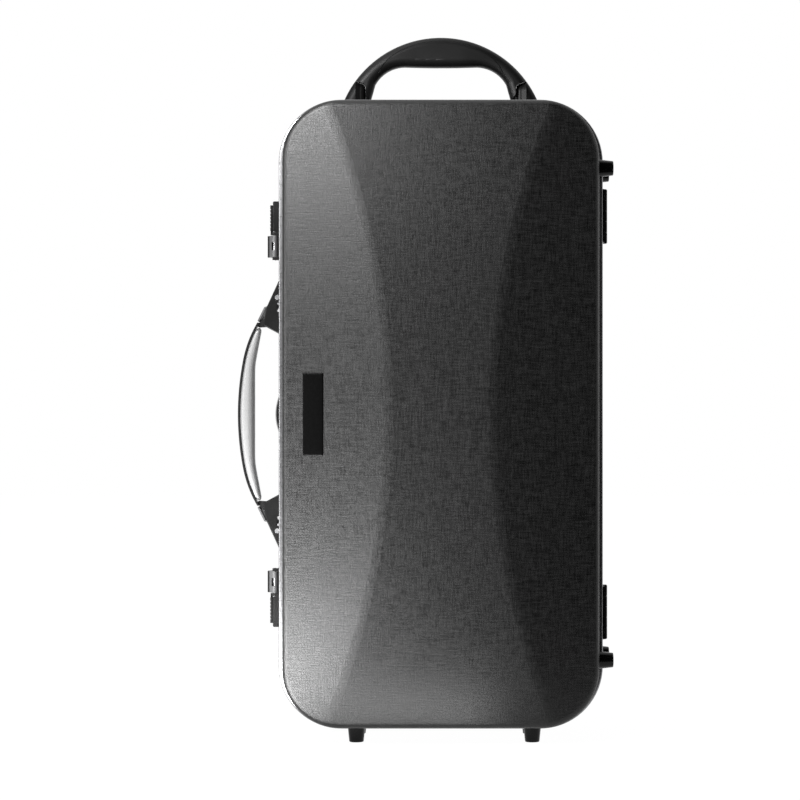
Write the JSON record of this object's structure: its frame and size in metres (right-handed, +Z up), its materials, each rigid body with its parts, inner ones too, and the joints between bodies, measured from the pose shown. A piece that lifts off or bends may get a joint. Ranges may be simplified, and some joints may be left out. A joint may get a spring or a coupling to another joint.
{
  "type": "bassoon case",
  "caption": "Hard-shell bassoon case: creased shells joined by a side-hinged lid, hasp latches, a sliding side handle, a folding end handle and fitted bays.",
  "frame": {"origin": "on the floor under the middle of the seam between lid and base, with the case standing on its end feet", "axes": "+Z up along the case's length, the lid faces -Y, the hinges are on +X and the side handle on -X"},
  "size_m": [0.3955, 0.166, 0.7432],
  "materials": {
    "shell": "satin, fine woven-look texture",
    "rim": "clear anodised, satin",
    "rubber": "glossy moulded rubber",
    "black_metal": "black powder coat, satin",
    "grey_metal": "grey anodised, satin",
    "steel": "bright brushed",
    "handle_plastic": "black, semi-gloss",
    "grip": "silver grey, soft touch",
    "plush": "black plush over foam"
  },
  "bodies": {
    "base": {"base_shell": "shell", "base_rim": "rim", "seal_gasket": "rubber", "base_end_feet": "rubber", "base_side_feet": "rubber", "base_foot_screws": "steel", "base_hinge_rivets": "black_metal", "upper_hinge_base_leaf": "black_metal", "lower_hinge_base_leaf": "black_metal", "upper_hinge_pin": "black_metal", "lower_hinge_pin": "black_metal", "upper_lock_body": "black_metal", "lower_lock_body": "black_metal", "upper_lock_spring": "steel", "lower_lock_spring": "steel", "upper_handle_bracket": "black_metal", "lower_handle_bracket": "black_metal", "upper_bracket_rivet": "steel", "lower_bracket_rivet": "steel", "bracket_screws": "steel", "handle_rest": "rubber", "left_end_post": "black_metal", "right_end_post": "black_metal", "end_handle_pins": "steel", "post_screws": "steel", "foam_tray": "plush", "accessory_cover_pin": "steel"},
    "lid": {"lid_shell": "shell", "lid_rim": "rim", "lid_lining": "plush", "lid_end_feet": "rubber", "lid_side_feet": "rubber", "lid_foot_screws": "steel", "lid_hinge_rivets": "black_metal", "upper_hinge_lid_leaf": "black_metal", "lower_hinge_lid_leaf": "black_metal", "upper_latch_plate": "black_metal", "lower_latch_plate": "black_metal", "upper_hasp_pin": "steel", "lower_hasp_pin": "steel"},
    "upper_hasp": {"upper_hasp": "grey_metal", "upper_hasp_cap": "black_metal"},
    "lower_hasp": {"lower_hasp": "grey_metal", "lower_hasp_cap": "black_metal"},
    "upper_slider": {"upper_lock_slider": "black_metal"},
    "lower_slider": {"lower_lock_slider": "black_metal"},
    "side_handle": {"handle_strap": "handle_plastic", "handle_grip": "grip", "upper_eye_pin": "steel", "lower_eye_pin": "steel"},
    "upper_arm": {"upper_handle_arm": "steel", "upper_slot_pin": "steel"},
    "lower_arm": {"lower_handle_arm": "steel", "lower_slot_pin": "steel"},
    "end_handle": {"end_handle_spine": "handle_plastic", "end_handle_grip": "handle_plastic"},
    "accessory_cover": {"accessory_cover": "plush"}
  },
  "joints": [
    {"name": "lid_hinge", "type": "hinge", "parent": "base", "child": "lid", "pos_m": [0.1729, 0, 0.341], "axis": [0, 0, 1], "range_deg": [0, 110]},
    {"name": "upper_hasp_hinge", "type": "hinge", "parent": "lid", "child": "upper_hasp", "pos_m": [-0.1746, -0.009, 0.51755], "axis": [0, 0, 1], "range_deg": [0, 105]},
    {"name": "lower_hasp_hinge", "type": "hinge", "parent": "lid", "child": "lower_hasp", "pos_m": [-0.1746, -0.009, 0.16445], "axis": [0, 0, 1], "range_deg": [0, 105]},
    {"name": "upper_lock_slide", "type": "slide", "parent": "base", "child": "upper_slider", "axis": [0, 0, 1], "range_m": [0, 0.004], "stiffness_N_per_m": 250, "springref_m": -0.003, "deforming": ["upper_lock_spring"]},
    {"name": "lower_lock_slide", "type": "slide", "parent": "base", "child": "lower_slider", "axis": [0, 0, -1], "range_m": [0, 0.004], "stiffness_N_per_m": 250, "springref_m": -0.003, "deforming": ["lower_lock_spring"]},
    {"name": "handle_lift", "type": "slide", "parent": "base", "child": "side_handle", "axis": [-1, 0, 0], "range_m": [0, 0.007]},
    {"name": "upper_arm_swing", "type": "hinge", "parent": "side_handle", "child": "upper_arm", "pos_m": [-0.1865, 0.032, 0.4385], "axis": [0, 1, 0], "range_deg": [0, 23.93]},
    {"name": "lower_arm_swing", "type": "hinge", "parent": "side_handle", "child": "lower_arm", "pos_m": [-0.1865, 0.032, 0.2435], "axis": [0, -1, 0], "range_deg": [0, 23.93]},
    {"name": "end_handle_fold", "type": "hinge", "parent": "base", "child": "end_handle", "pos_m": [0, 0.038, 0.685], "axis": [1, 0, 0], "range_deg": [-80, 80]},
    {"name": "accessory_cover_hinge", "type": "hinge", "parent": "base", "child": "accessory_cover", "pos_m": [0.017, 0.005, 0.6472], "axis": [-1, 0, 0], "range_deg": [0, 90]}
  ],
  "couplings": [
    {"joint": "upper_arm_swing", "follows": "handle_lift", "rad_per_m": 59.65},
    {"joint": "lower_arm_swing", "follows": "handle_lift", "rad_per_m": 59.65}
  ]
}
